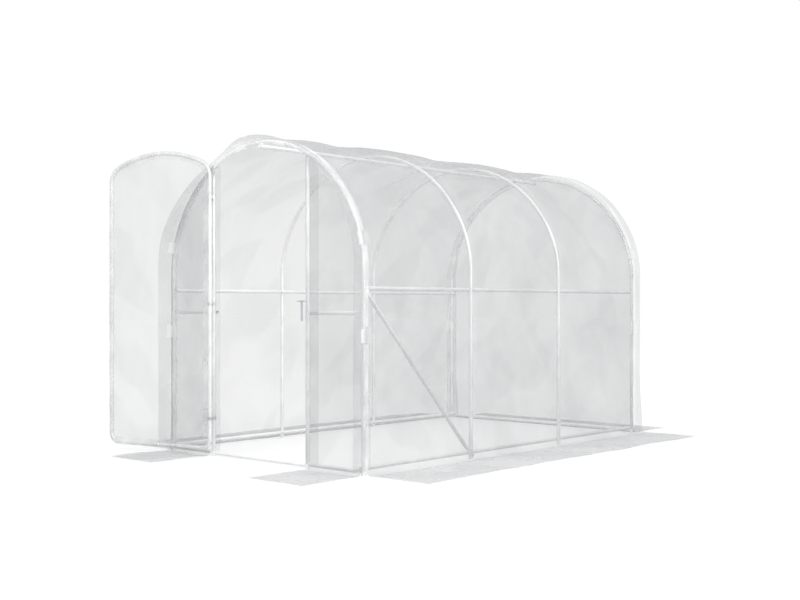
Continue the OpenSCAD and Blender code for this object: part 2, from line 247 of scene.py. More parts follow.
# the tubes mirror a darker floor, so their undersides read grey
floorRays = addNode(floorTree, "ShaderNodeLightPath")
floorDim = addNode(floorTree, "ShaderNodeBsdfDiffuse",
                   inputs={"Color": colour(studio["floor"]["gloss"])})
floorPick = addNode(floorTree, "ShaderNodeMixShader",
                    links={"Fac": floorRays.outputs["Is Glossy Ray"]})
floorTree.links.new(floorShader.outputs["BSDF"], floorPick.inputs[1])
floorTree.links.new(floorDim.outputs["BSDF"], floorPick.inputs[2])
floorOut = floorTree.nodes["Material Output"]
floorTree.links.new(floorPick.outputs["Shader"], floorOut.inputs["Surface"])
floorMesh = bmesh.new()
bmesh.ops.create_grid(floorMesh, x_segments=1, y_segments=1, size=studio["floor"]["size"])
floorData = bpy.data.meshes.new("floor")
floorMesh.to_mesh(floorData)
floorMesh.free()
floorData.materials.append(floorMaterial)
floor = bpy.data.objects.new("floor", floorData)
bpy.context.scene.collection.objects.link(floor)
bpy.context.scene.view_settings.view_transform = "Standard"
print("camera and studio ready")

# Hot-dip galvanised steel tube: dull zinc with a faint spangle over a soft cloud.
steel = {"light": "ffffff", "dark": "eff0f1", "spangle": 0.012,
         "metallic": 0.25, "smoothest": 0.26, "roughest": 0.46}
steelMaterial, tree, shader = newMaterial("galvanisedSteelTube")
place = addNode(tree, "ShaderNodeTexCoord")
spangle = addNode(tree, "ShaderNodeTexVoronoi", inputs={"Scale": 1 / steel["spangle"]},
                  links={"Vector": place.outputs["Object"]})
cloud = addNode(tree, "ShaderNodeTexNoise", inputs={"Scale": 9.0, "Detail": 4.0},
                links={"Vector": place.outputs["Object"]})
blend = addNode(tree, "ShaderNodeMath", {"operation": "MULTIPLY_ADD"}, {1: 0.35},
                {0: spangle.outputs["Color"], 2: cloud.outputs["Fac"]})
tint = addNode(tree, "ShaderNodeValToRGB", links={"Fac": blend.outputs[0]})
tint.color_ramp.elements[0].position = 0.35
tint.color_ramp.elements[0].color = colour(steel["dark"])
tint.color_ramp.elements[1].position = 0.85
tint.color_ramp.elements[1].color = colour(steel["light"])
tree.links.new(tint.outputs["Color"], shader.inputs["Base Color"])
gloss = addNode(tree, "ShaderNodeMapRange",
                inputs={"To Min": steel["smoothest"], "To Max": steel["roughest"]},
                links={"Value": blend.outputs[0]})
tree.links.new(gloss.outputs["Result"], shader.inputs["Roughness"])
shader.inputs["Metallic"].default_value = steel["metallic"]

# Bright zinc plating on the small fittings: smoother and a little bluer than the tube.
zinc = {"light": "eceeef", "dark": "cdd1d4", "metallic": 0.65, "roughness": 0.3}
zincMaterial, tree, shader = newMaterial("zincPlatedSteel")
place = addNode(tree, "ShaderNodeTexCoord")
grain = addNode(tree, "ShaderNodeTexNoise", inputs={"Scale": 120.0, "Detail": 3.0},
                links={"Vector": place.outputs["Object"]})
tint = addNode(tree, "ShaderNodeValToRGB", links={"Fac": grain.outputs["Fac"]})
tint.color_ramp.elements[0].color = colour(zinc["dark"])
tint.color_ramp.elements[1].color = colour(zinc["light"])
tree.links.new(tint.outputs["Color"], shader.inputs["Base Color"])
shader.inputs["Metallic"].default_value = zinc["metallic"]
shader.inputs["Roughness"].default_value = zinc["roughness"]

# Moulded white polypropylene clips: satin, with a faint mould grain.
clipFinish = {"colour": "f6f6f4", "roughness": 0.45}
clipMaterial, tree, shader = newMaterial("whitePolypropylene")
place = addNode(tree, "ShaderNodeTexCoord")
grain = addNode(tree, "ShaderNodeTexNoise", inputs={"Scale": 700.0},
                links={"Vector": place.outputs["Object"]})
relief = addNode(tree, "ShaderNodeBump", inputs={"Strength": 0.15, "Distance": 0.0005},
                 links={"Height": grain.outputs["Fac"]})
tree.links.new(relief.outputs["Normal"], shader.inputs["Normal"])
shader.inputs["Base Color"].default_value = colour(clipFinish["colour"])
shader.inputs["Roughness"].default_value = clipFinish["roughness"]

# Clear blown polyethylene film: faint milky haze, soft creases that whiten where it was folded,
# their white partly painted highlight.
film = {
    "haze": "989a9c", "creaseAndHighlight": "f6f7f7", "roughness": 0.32, "ior": 1.5, "relief": 0.16,
    "alpha": 0.165, "grazing": 0.26, "mist": 0.05, "patch": 0.055, "fine": 0.015, "gatherAndGlare": 0.20,
    "folds": [(0.95, (0, 0), 0.02), (-0.85, (3.7, 1.9), 0.02)],   # direction, offset and whitening
}
filmMaterial, tree, shader = newMaterial("clearPolyethyleneFilm")
place = addNode(tree, "ShaderNodeTexCoord")
warp = addNode(tree, "ShaderNodeTexNoise", inputs={"Scale": 2.2, "Detail": 1.0},
               links={"Vector": place.outputs["UV"]})
spread = addNode(tree, "ShaderNodeMix", {"data_type": "VECTOR"}, {"Factor": 0.07})
tree.links.new(place.outputs["UV"], spread.inputs[4])
tree.links.new(warp.outputs["Color"], spread.inputs[5])
facing = addNode(tree, "ShaderNodeLayerWeight", inputs={"Blend": 0.35})
total = addNode(tree, "ShaderNodeMath", {"operation": "MULTIPLY_ADD"},
                {1: film["grazing"], 2: film["alpha"]}, {0: facing.outputs["Facing"]})
relief, marks = None, None
for angle, offset, whitening in film["folds"]:
    # long tension folds, 60 to 120 mm apart across and about 0.5 m long
    along = addNode(tree, "ShaderNodeMapping", {"vector_type": "TEXTURE"},
                    {"Location": offset + (0,), "Rotation": (0, 0, angle),
                     "Scale": (0.70, 0.16, 1.0)},
                    {"Vector": spread.outputs[1]})
    pleat = addNode(tree, "ShaderNodeTexNoise",
                    inputs={"Scale": 1.0, "Detail": 1.6, "Roughness": 0.45},
                    links={"Vector": along.outputs["Vector"]})
    centred = addNode(tree, "ShaderNodeMath", {"operation": "SUBTRACT"}, {1: 0.5},
                      {0: pleat.outputs["Fac"]})
    away = addNode(tree, "ShaderNodeMath", {"operation": "ABSOLUTE"}, links={0: centred.outputs[0]})
    line = addNode(tree, "ShaderNodeMapRange", {"interpolation_type": "SMOOTHERSTEP"},
                   {"From Min": 0.0, "From Max": 0.10, "To Min": 1.0, "To Max": 0.0},
                   {"Value": away.outputs[0]})
    where = addNode(tree, "ShaderNodeMapping", {}, {"Location": (offset[1], offset[0], 0)},
                    {"Vector": place.outputs["UV"]})
    region = addNode(tree, "ShaderNodeTexNoise", inputs={"Scale": 1.6, "Detail": 2.0},
                     links={"Vector": where.outputs["Vector"]})
    mask = addNode(tree, "ShaderNodeMapRange", {"interpolation_type": "SMOOTHSTEP"},
                   {"From Min": 0.50, "From Max": 0.68}, {"Value": region.outputs["Fac"]})
    fold = addNode(tree, "ShaderNodeMath", {"operation": "MULTIPLY"},
                   links={0: line.outputs["Result"], 1: mask.outputs["Result"]})
    total = addNode(tree, "ShaderNodeMath", {"operation": "MULTIPLY_ADD"}, {1: whitening},
                    {0: fold.outputs[0], 2: total.outputs[0]})
    if relief is None:
        relief, marks = pleat.outputs["Fac"], fold.outputs[0]
    else:
        relief = addNode(tree, "ShaderNodeMath", {"operation": "ADD"},
                         links={0: relief, 1: pleat.outputs["Fac"]}).outputs[0]
        marks = addNode(tree, "ShaderNodeMath", {"operation": "MAXIMUM"},
                        links={0: marks, 1: fold.outputs[0]}).outputs[0]
# fine wrinkles, 40 to 80 mm apart, where the film was bunched or is gathered;
# the real ones are finer and wouldn't show
# how gathered the film is, with the painted glare it carries
gatherAndGlareNode = addNode(tree, "ShaderNodeAttribute", {"attribute_name": "gatherAndGlare"})
across = addNode(tree, "ShaderNodeMapping", {"vector_type": "TEXTURE"},
                 {"Rotation": (0, 0, 0.6), "Scale": (0.18, 0.07, 1.0)},
                 {"Vector": spread.outputs[1]})
tuck = addNode(tree, "ShaderNodeTexNoise",
               inputs={"Scale": 1.0, "Detail": 2.0, "Roughness": 0.45, "Distortion": 0.6},
               links={"Vector": across.outputs["Vector"]})
tuckLine = addNode(tree, "ShaderNodeMapRange", {"interpolation_type": "SMOOTHSTEP"},
                   {"From Min": 0.48, "From Max": 0.78}, {"Value": tuck.outputs["Fac"]})
bunched = addNode(tree, "ShaderNodeTexNoise",
                  inputs={"Scale": 1.5, "Detail": 2.0, "Distortion": 0.4},
                  links={"Vector": place.outputs["UV"]})
bunchMask = addNode(tree, "ShaderNodeMapRange", {"interpolation_type": "SMOOTHSTEP"},
                    {"From Min": 0.56, "From Max": 0.78}, {"Value": bunched.outputs["Fac"]})
where = addNode(tree, "ShaderNodeMath", {"operation": "MAXIMUM"},
                links={0: bunchMask.outputs["Result"], 1: gatherAndGlareNode.outputs["Fac"]})
crumple = addNode(tree, "ShaderNodeMath", {"operation": "MULTIPLY"},
                  links={0: tuckLine.outputs["Result"], 1: where.outputs[0]})
marks = addNode(tree, "ShaderNodeMath", {"operation": "MAXIMUM"},
                links={0: marks, 1: crumple.outputs[0]}).outputs[0]
# folds whiten a little, held edges a lot; the white is partly stress-whitening, partly painted
# highlight
marks = addNode(tree, "ShaderNodeMath", {"operation": "MULTIPLY"}, {1: 0.15}, {0: marks}).outputs[0]
marks = addNode(tree, "ShaderNodeMath", {"operation": "MULTIPLY_ADD", "use_clamp": True}, {1: 1.6},
                {0: gatherAndGlareNode.outputs["Fac"], 2: marks}).outputs[0]
mist = addNode(tree, "ShaderNodeTexNoise",
               inputs={"Scale": 1.3, "Detail": 2.0, "Roughness": 0.5, "Distortion": 0.4},
               links={"Vector": place.outputs["UV"]})
mistMask = addNode(tree, "ShaderNodeMapRange", {"interpolation_type": "SMOOTHSTEP"},
                   {"From Min": 0.35, "From Max": 0.7, "To Max": film["mist"]},
                   {"Value": mist.outputs["Fac"]})
# broad slanting panes where the film catches less light
slant = addNode(tree, "ShaderNodeMapping", {"vector_type": "TEXTURE"},
                {"Location": (0.9, 0.4, 0), "Rotation": (0, 0, 0.8), "Scale": (0.55, 0.28, 1.0)},
                {"Vector": spread.outputs[1]})
pane = addNode(tree, "ShaderNodeTexNoise",
               inputs={"Scale": 1.0, "Detail": 1.2, "Roughness": 0.4, "Distortion": 0.3},
               links={"Vector": slant.outputs["Vector"]})
patch = addNode(tree, "ShaderNodeMapRange", {"interpolation_type": "SMOOTHSTEP"},
                {"From Min": 0.47, "From Max": 0.60, "To Max": film["patch"]},
                {"Value": pane.outputs["Fac"]})
for factor, mask in ((1, mistMask.outputs["Result"]), (1, patch.outputs["Result"]),
                     (film["fine"], crumple.outputs[0]), (film["gatherAndGlare"], gatherAndGlareNode.outputs["Fac"])):
    total = addNode(tree, "ShaderNodeMath", {"operation": "MULTIPLY_ADD", "use_clamp": True},
                    {1: factor}, {0: mask, 2: total.outputs[0]})
tree.links.new(total.outputs[0], shader.inputs["Alpha"])
# haze whitened towards the crease white: stress-whitening with painted highlight
whiten = addNode(tree, "ShaderNodeMix", {"data_type": "RGBA"}, links={"Factor": marks})
whiten.inputs[6].default_value = colour(film["haze"])
whiten.inputs[7].default_value = colour(film["creaseAndHighlight"])
tree.links.new(whiten.outputs[2], shader.inputs["Base Color"])
tucks = addNode(tree, "ShaderNodeMath", {"operation": "MULTIPLY"},
                links={0: tuck.outputs["Fac"], 1: where.outputs[0]})
relief = addNode(tree, "ShaderNodeMath", {"operation": "MULTIPLY_ADD"}, {1: 0.03},
                 {0: tucks.outputs[0], 2: relief})
bump = addNode(tree, "ShaderNodeBump", inputs={"Strength": film["relief"], "Distance": 0.01},
               links={"Height": relief.outputs[0]})
tree.links.new(bump.outputs["Normal"], shader.inputs["Normal"])
shader.inputs["Roughness"].default_value = film["roughness"]
shader.inputs["IOR"].default_value = film["ior"]

finishes = {"galvanised_tube": steelMaterial, "zinc_fitting": zincMaterial,
            "white_clip": clipMaterial, "clear_film": filmMaterial}
slotOf = {part["node"]: part["material_slot"] for part in frame["record"]["subparts"]}
for name, node in frame["nodes"].items():
    node.data.materials.clear()
    node.data.materials.append(finishes[slotOf[name]])
print("materials ready")

# One cover goes over the roof and both walls.
cover = {
    "lift": 0.0035,        # film above the tubes where it is tight
    "rightLift": 0.0080,   # clears the brace's bolted ends
    "crest": 0.038,        # how high it rides over the inner hoops at the crown
    "trough": -0.002,      # and between them
    "frontReach": 0.112, "rearReach": 0.118,
    "bendRadius": 0.03, "groundGap": 0.0016,
    "spacing": 0.0155,
}
wallBottom = cover["bendRadius"] + cover["groundGap"]


def coverOffset(s, x, y, z):
    # how far the cover stands off the hoops' centre line
    side = 1 if s >= 0 else -1
    base = tubeRadius + (cover["rightLift"] if side > 0 else cover["lift"])
    s = abs(s)
    inner = (ease(frontY + 0.06, frontY + 0.55, y)
             * (1 - 0.45 * ease(hoopYs[1] + 0.2, hoopYs[2] - 0.1, y)))
    nearest = min(abs(y - hoopY) for hoopY in hoopYs)
    bay = math.sin(math.pi * min(nearest / 0.5, 1)) if nearest < 0.5 else 0
    ride = 0.5 + 0.5 * math.cos(2 * math.pi * (y - hoopYs[0]))
    tent = cover["trough"] + (cover["crest"] - cover["trough"]) * ride
    onRoof = 1 - ease(0.55, 1.25, s)
    loose = inner * onRoof * tent * (1 + 0.5 * wobble(x, y, z, 0.55, 3))
    slack = 0.35 + 0.65 * ease(0.02, 0.25, nearest)
    swell = 0.006 * wobble(x, y * 0.8, z, 0.42, 1) + 0.0035 * wobble(x, y, z * 0.7, 0.17, 2)
    pull = 0.0025 * abs(wobble(x, y * 2.2, z * 0.5, 0.11, 5))
    free = slack * (swell * (0.6 + 0.6 * onRoof) + pull + 0.004)
    onWall = ease(1.2, 1.5, s)
    bellyIn = -0.010 * onWall * bay * (0.6 + 0.5 * wobble(x, y, z, 0.8, 8))
    drape = base + max(0, loose + free + bellyIn * slack)
    past = max(frontY - y, y - rearY, 0)
    lip = past * 0.02 + past * 0.10 * (0.5 + 0.5 * wobble(s, 0.3, 0, 0.16, 4 if y < 0 else 6))
    return drape + max(0, lip) * (1 - 0.6 * onWall)


# Left of the crown the front overhang narrows to leave room for the open leaf, which leans
# away from the hoop as it goes out from its hinge.
overhang = {"fullFrom": 0.05, "hingeX": 0.448, "atHinge": 0.030,
            "leafRoom": 0.0125 + 0.0147, "leafSlope": 0.2126}


def frontReach(s):
    x = hoopPoint(s)[0]
    wave = 0.006 * wobble(s, 0, 0, 0.22, 9) + 0.003 * wobble(s, 0, 0, 0.07, 10)
    full, hingeX, least = cover["frontReach"], overhang["hingeX"], overhang["atHinge"]
    if x >= overhang["fullFrom"]:
        return full + wave
    if x > -hingeX:
        return least + (full - least) * ease(-0.40, 0.0, x) + wave * ease(-hingeX, -0.2, x)
    room = overhang["leafRoom"] + (abs(x) - hingeX) * overhang["leafSlope"]
    return min(full, room) + 0.5 * min(wave, 0)


# distances along the hoop from its crown to the middles of the three clips on one side
clip = {"crownX": 0.187, "shoulderRise": 0.177, "legHeight": 0.812, "half": 0.045}
shoulderTurn = (math.acos(clip["shoulderRise"] / arch["shoulderRadius"])
                - (math.pi / 2 - arch["joinAngle"]))
clipSpots = [hoopDistance(clip["crownX"]),
             arch["crownLength"] + shoulderTurn * arch["shoulderRadius"],
             arch["length"] - clip["legHeight"]]


def coverPlace(u, v):
    half = arch["length"] - wallBottom
    s = (2 * u - 1) * half
    reach = frontReach(s)
    x, z, nx, nz = hoopPoint(s)
    rear = cover["rearReach"] - 0.03 * ease(0.05, 0.5, z) + 0.006 * wobble(s, 5, 0, 0.2, 11)
    y = frontY - reach + v * (rearY - frontY + reach + rear)
    off = coverOffset(s, x, y, z)
    fromEnd = min(abs(y - frontY), abs(y - rearY))
    # over the end hoops the film is crimped by its clips and whitened, the white partly a painted
    # glare sleeve
    clippedAndGlare = (1 - ease(0.012, 0.026, fromEnd)) * (0.42 + 0.3 * wobble(s, y, 0, 0.13, 12))
    inner = min(abs(y - hoopYs[1]), abs(y - hoopYs[2]))
    rubbed = (1 - ease(0.01, 0.05, inner)) * 0.12
    past = (0.12 * ease(0, 0.02, max(frontY - y, y - rearY))
            * (0.7 + 0.6 * wobble(s, y, 1, 0.15, 13)))
    gatheredAndGlare = max(clippedAndGlare, rubbed, past, 0)
    if any(abs(abs(s) - spot) < clip["half"] for spot in clipSpots):
        gatheredAndGlare -= 0.9 * (1 - ease(0.035, 0.05, fromEnd))   # drawn tight and clear over a clip
    return Vector((x + nx * off, y, z + nz * off)), (s, y), gatheredAndGlare


coverSection = 2 * (arch["length"] - wallBottom)
coverLength = rearY - frontY + cover["frontReach"] + cover["rearReach"]
coverCut = filmMesh(int(coverSection / cover["spacing"]), int(coverLength / cover["spacing"]),
                    coverPlace)
coverFilm = finishPiece(coverCut, "coverFilm", filmMaterial, "frame")
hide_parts("cover_roof", "cover_wall_left", "cover_wall_right")
print("cover ready")

# Film lies on the ground beside the walls and in front of the ends.
flap = {
    "edge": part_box("ground_flap_right")[1].x - 0.004,
    "length": rearY - frontY + 0.118,   # beside a wall
    "endReach": 0.47,                   # out from an end
    "limitX": 1.41, "spacing": 0.014,
}


def groundHeight(x, y, seed):
    low = 0.5 + 0.5 * wobble(x, y, 0, 0.30, seed)
    fine = 0.5 + 0.5 * wobble(x * 1.6, y, 0, 0.09, seed + 1)
    return cover["groundGap"] + 0.011 * low * low + 0.0035 * fine * fine


def sideFlapPlace(side):
    def place(u, v):
        y = frontY + 0.001 + v * flap["length"]
        s = side * (arch["length"] - wallBottom)
        top = halfWidth + coverOffset(s, side * halfWidth, y, wallBottom)
        bend = cover["bendRadius"]
        edge = (flap["edge"] - 0.030 - 0.022 * wobble(0, y, 0, 0.9, 20 + side)
                - 0.010 * wobble(0, y, 0, 0.25, 22 + side))
        arc = bend * math.pi / 2
        run = u * (arc + edge - top - bend)
        if run < arc:
            a = run / bend
            x, z = top + bend * (1 - math.cos(a)), wallBottom - bend * math.sin(a)
        else:
            x, z = top + bend + run - arc, cover["groundGap"]
        rise = groundHeight(x, y, 30 + side) - cover["groundGap"]
        z += rise * ease(0.0, 0.12, x - top - bend * 0.5)
        gatheredAndGlare = max(0.10 * wobble(x, y, 0, 0.2, 14), 0)
        return Vector((side * x, y, z)), (side * (arch["length"] + run), y), gatheredAndGlare
    return place


for side, name in ((1, "ground_flap_right"), (-1, "ground_flap_left")):
    width, length = flap["edge"] - halfWidth - tubeRadius, flap["length"]
    cut = filmMesh(int(width / flap["spacing"]), int(length / flap["spacing"]), sideFlapPlace(side))
    if side < 0:
        bmesh.ops.reverse_faces(cut, faces=cut.faces)
    pieceName = "sideFlapRight" if side > 0 else "sideFlapLeft"
    sideFlap = finishPiece(cut, pieceName, filmMaterial, "frame")
    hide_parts(name)


def endFlapPlace(y0, direction, x0, x1, seed):
    # lies on the ground in front of an end panel; direction is -1 at the front
    def place(u, v):
        bend = cover["bendRadius"]
        wavy = (0.018 * wobble(u * (x1 - x0), 0, 0, 0.5, seed)
                + 0.008 * wobble(u * (x1 - x0), 1, 0, 0.15, seed))
        reach = flap["endReach"] + wavy
        run = v * (bend * math.pi / 2 + reach - bend)
        arc = bend * math.pi / 2
        spread = 0.02 * (v - 0.5)
        x = (x0 + u * (x1 - x0) + spread * (2 * u - 1) * 0.5
             + 0.01 * wobble(v, u * 3, 0, 0.6, seed + 2) * v)
        x = min(max(x, -flap["limitX"]), flap["limitX"])
        if run < arc:
            a = run / bend
            out, z = bend * (1 - math.cos(a)), wallBottom - bend * math.sin(a)
        else:
            out, z = bend + run - arc, cover["groundGap"]
        y = y0 + direction * out
        rise = groundHeight(x, y, seed + 5) - cover["groundGap"]
        z += rise * ease(0.0, 0.12, out - bend * 0.5)
        return Vector((x, y, z)), (x, y), max(0.10 * wobble(x, y, 0, 0.2, 15), 0)
    return place


railY = postY - tubeRadius - 0.0025
sideX, besidePost = halfWidth + 0.012, postX + 0.016
for name, pieceName, x0, x1, y0, direction, seed in (
        ("ground_flap_front_right", "frontFlapRight", besidePost, sideX, railY, -1, 40),
        ("ground_flap_front_left", "frontFlapLeft", -sideX, -besidePost, railY, -1, 50),
        ("ground_flap_rear", "rearFlap", -sideX, sideX, rearY + (frontY - railY), 1, 60)):
    cut = filmMesh(max(int((x1 - x0) / flap["spacing"]), 20), int(0.5 / flap["spacing"]),
                   endFlapPlace(y0, direction, x0, x1, seed))
    if direction < 0:
        bmesh.ops.reverse_faces(cut, faces=cut.faces)
    endFlap = finishPiece(cut, pieceName, filmMaterial, "frame")
    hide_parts(name)
print("ground flaps ready")

# Panels close both ends beside the doorway and at the rear.
panel = {"bulge": 0.010, "flange": 0.045, "wrap": 0.0145, "postFlange": 0.10}


def tubeWrap(run, radius):
    # film round a tube: from a plane at -radius, round the outside; gives (outward, sideways)
    quarter = radius * math.pi / 2
    if run <= 0:
        return run, -radius
    if run < quarter:
        a = run / radius
        return radius * math.sin(a), -radius * math.cos(a)
    return radius, run - quarter


def panelBelly(x, z, room, seed):
    # slack in the panel, fading to nothing at its held edges
    hold = ease(0.0, 0.16, room)
    soft = wobble(x, 0, z, 0.34, seed) + 0.5 * wobble(x * 1.4, 1, z * 0.8, 0.15, seed + 1)
    ridge = 1 - abs(wobble(x * 1.2, 2, z * 0.7, 0.22, seed + 2)) * 2
    return hold * (panel["bulge"] * soft
                   + 0.006 * max(ridge, 0) ** 2 * wobble(x, 3, z, 0.5, seed + 3))


def heldEdge(room, reach, x, z, seed):
    # whitening that fades away from a held edge, partly gathered film, partly painted highlight
    return max((1 - ease(0.0, reach, room)) * (0.22 + 0.5 * wobble(x, 0, z, 0.14, seed)), 0)


def frontPanelPlace(side):
    sTop = hoopDistance(postX + 0.004)
    sBottom = arch["length"] - wallBottom
    postWrap = panel["wrap"] * math.pi / 2

    def place(u, v):
        s = sBottom + (sTop - sBottom) * v
        x, z, nx, nz = hoopPoint(s)
        across = max(x - postX, 0.0)
        inside = panel["postFlange"] + postWrap
        outside = panel["wrap"] * math.pi / 2 + panel["flange"]
        run = u * (inside + across + outside) - inside
        if run < 0:
            # round the door post and back behind it on the right, straight back from it on the left
            r = panel["wrap"] - 0.0008
            back = -run
            free = back - r * math.pi / 2
            if side < 0 and free >= 0:
                px = postX - r - 0.004 * wobble(0, 0, z, 0.25, 72) * free / 0.1
                py = postY + free * 0.45
            elif back < r * math.pi:
                a = back / r
                px, py = postX - r * math.sin(a), postY - r * math.cos(a)
            else:
                px, py = postX + (back - r * math.pi), postY + r + 0.0005
                py = min(py, frontY - 0.0008) + 0.0015 * wobble(px * 3, 0, z, 0.2, 71)
                py = min(py, frontY - 0.0005)
            return Vector((side * px, py, z)), (side * (postX + run), z), -0.4
        if run <= across:
            t = run / max(across, 1e-6)
            yPost = postY - panel["wrap"] + 0.0008
            yHoop = frontY - panel["wrap"]
            py = yPost + (yHoop - yPost) * ease(0.0, 1.0, t)
            room = min(run, across - run)
            low = 1 - ease(0.03, 0.2, z - wallBottom)
            py += panelBelly(x + run, z, min(room, z + 0.02), 70 + side)
            py = min(py, frontY - 0.0135 + 0.006 * ease(0, 0.1, room))
            py = py * (1 - low) + min(py, railY) * low
            # the left panel is drawn clearer than the right: painted light lifting the shade it
            # gets behind the open leaf
            return (Vector((side * (postX + run), py, z)), (side * (postX + run), z),
                    heldEdge(across - run, 0.09, run, z, 17) - (0.75 if side < 0 else 0.1))
        # round the hoop the film is doubled and whitened, the white partly painted glare along the
        # tube
        out, along = tubeWrap(run - across, panel["wrap"])
        return (Vector((side * (x + nx * out), frontY + along, z + nz * out)),
                (side * (postX + run), z), 0.42 + 0.2 * wobble(run, 0, z, 0.12, 18))
    return place, sBottom - sTop


for side, name in ((1, "front_panel_right"), (-1, "front_panel_left")):
    place, length = frontPanelPlace(side)
    width = halfWidth - postX + panel["postFlange"] + panel["flange"] + 0.045
    cut = filmMesh(52, 130, place)
    if side > 0:
        bmesh.ops.reverse_faces(cut, faces=cut.faces)
    pieceName = "frontPanelRight" if side > 0 else "frontPanelLeft"
    frontPanel = finishPiece(cut, pieceName, filmMaterial, "frame")
    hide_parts(name)


def rearPanelPlace(u, v):
    sBottom = arch["length"] - wallBottom
    s = sBottom * (1 - v) + 0.012 * v
    x, z, nx, nz = hoopPoint(s)
    outside = panel["wrap"] * math.pi / 2 + panel["flange"]
    run = (2 * u - 1) * (x + outside)
    side = 1 if run >= 0 else -1
    reach = abs(run)
    if reach <= x:
        room = min(x - reach, z + 0.02, arch["crownZ"] + arch["crownRadius"] - z + 0.05)
        low = 1 - ease(0.03, 0.2, z - wallBottom)
        away = panel["wrap"] + 0.004 * ease(0, 0.1, room) - panelBelly(run, z, room, 90)
        away = max(away, 0.0135 - 0.006 * ease(0, 0.1, room))
        away = away * (1 - low) + max(away, frontY - railY) * low
        crushed = (0.35 * ease(0.1, 0.5, run) * (1 - ease(1.0, 1.35, z))
                   * (0.3 + wobble(run, 0, z, 0.25, 19)))
        gatheredAndGlare = max(crushed, heldEdge(x - reach, 0.06, run, z, 20), 0)
        return Vector((run, rearY + away, z)), (run + 4, z), gatheredAndGlare
    # round the hoop the film is doubled and whitened, the white partly painted glare along the tube
    out, along = tubeWrap(reach - x, panel["wrap"])
    return (Vector((side * (x + nx * out), rearY - along, z + nz * out)), (run + 4, z),
            0.40 + 0.2 * wobble(run, 0, z, 0.12, 21))


cut = filmMesh(150, 165, rearPanelPlace)
rearPanel = finishPiece(cut, "rearPanel", filmMaterial, "frame")
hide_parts("rear_panel")
print("end panels ready")

# The leaf is covered with film drawn round its tubes.
leaf = {
    "hinge": Vector((-0.448, -1.545, 0)), "open": math.radians(168), "width": 0.8665,
    "bottom": 0.052, "corner": 0.06, "shoulder": 0.12, "crownRadius": 0.91744,
    "wrap": 0.0150, "tight": 0.0129, "flange": 0.042,
    "clampHeights": (0.25, 1.0, 1.7), "clampHalf": 0.0115, "clampReach": 0.018,
}
leafMiddle = leaf["width"] / 2
shoulderX = leafMiddle - leaf["shoulder"]
shoulderZ = arch["crownZ"] + math.sqrt((leaf["crownRadius"] - leaf["shoulder"]) ** 2
                                       - shoulderX ** 2)
leafJoin = math.atan2(shoulderZ - arch["crownZ"], shoulderX)
leafParts = [
    ("bottom", leafMiddle - leaf["corner"]),
    ("corner", leaf["corner"] * math.pi / 2),
    ("stile", shoulderZ - leaf["bottom"] - leaf["corner"]),
    ("shoulder", leaf["shoulder"] * leafJoin),
    ("crown", leaf["crownRadius"] * (math.pi / 2 - leafJoin)),
]
leafHalf = sum(length for part, length in leafParts)


def leafPoint(s):
    # point and outward direction at a distance s round half of the leaf,
    # from the middle of its bottom tube
    for part, length in leafParts:
        if s <= length or part == "crown":
            break
        s -= length
    if part == "bottom":
        return s, leaf["bottom"], 0, -1
    if part == "corner":
        a = s / leaf["corner"]
        return (leafMiddle - leaf["corner"] + leaf["corner"] * math.sin(a),
                leaf["bottom"] + leaf["corner"] * (1 - math.cos(a)), math.sin(a), -math.cos(a))
    if part == "stile":
        return leafMiddle, leaf["bottom"] + leaf["corner"] + s, 1, 0
    if part == "shoulder":
        a = s / leaf["shoulder"]
        return (leafMiddle - leaf["shoulder"] + leaf["shoulder"] * math.cos(a),
                shoulderZ + leaf["shoulder"] * math.sin(a), math.cos(a), math.sin(a))
    a = leafJoin + s / leaf["crownRadius"]
    return (leaf["crownRadius"] * math.cos(a), arch["crownZ"] + leaf["crownRadius"] * math.sin(a),
            math.cos(a), math.sin(a))


turn = Matrix.Rotation(-leaf["open"], 4, "Z")
pinLow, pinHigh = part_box("latch_pin")
stripLow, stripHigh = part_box("latch_strip")
latch = {"x": (pinLow.x + pinHigh.x) / 2 - leaf["hinge"].x, "z": (pinLow.z + pinHigh.z) / 2,
         "reach": stripHigh.z - stripLow.z, "room": 0.0158}


